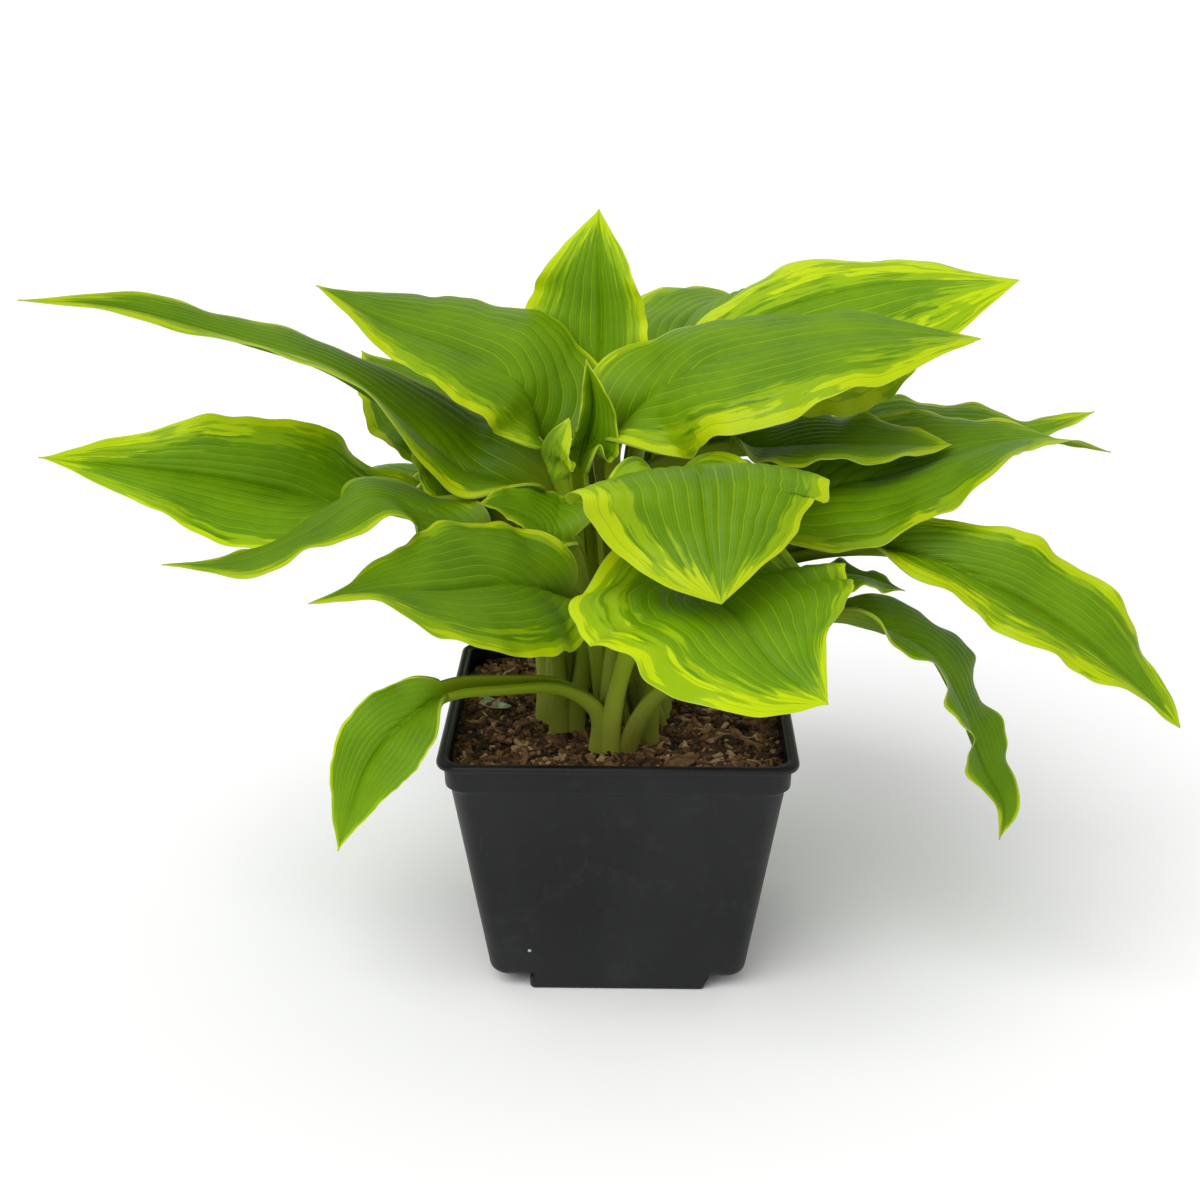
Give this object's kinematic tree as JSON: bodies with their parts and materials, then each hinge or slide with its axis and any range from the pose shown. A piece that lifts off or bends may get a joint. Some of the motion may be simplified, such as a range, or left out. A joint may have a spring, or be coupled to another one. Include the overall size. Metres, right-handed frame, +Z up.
{
  "type": "potted hosta plant",
  "caption": "Hosta with wide, ribbed, light-edged green leaves rising from a square black plastic nursery pot of bark mix.",
  "frame": {"origin": "centre of the pot's flat foot, on the surface it stands on", "axes": "+Z up, +X along the plant's widest spread, -Y the side the fullest leaves face"},
  "size_m": [0.4626, 0.3474, 0.3223],
  "materials": {
    "pot": "satin",
    "potting_mix": "matte",
    "leaf": "satin",
    "young_leaf": "satin"
  },
  "bodies": {
    "root": {"leaf_back_centre": "leaf", "leaf_back_left": "leaf", "leaf_back_left_low": "leaf", "leaf_back_low": "leaf", "leaf_back_right_low": "leaf", "leaf_back_right_up": "leaf", "leaf_far_left": "leaf", "leaf_far_right": "leaf", "leaf_front_centre": "leaf", "leaf_front_left": "leaf", "leaf_front_right": "leaf", "leaf_inner_front": "leaf", "leaf_inner_left": "leaf", "leaf_left_back": "leaf", "leaf_left_big": "leaf", "leaf_left_low": "leaf", "leaf_low_left": "leaf", "leaf_low_right": "leaf", "leaf_right_back": "leaf", "leaf_right_big": "leaf", "leaf_right_small": "leaf", "leaf_right_upper": "leaf", "leaf_top_centre": "leaf", "leaf_upper_left": "leaf", "leaf_upper_right_back": "leaf", "leaf_upper_right_front": "leaf", "leaf_young_centre": "young_leaf", "leaf_young_curl": "young_leaf", "pot": "pot", "potting_mix": "potting_mix"}
  },
  "joints": []
}
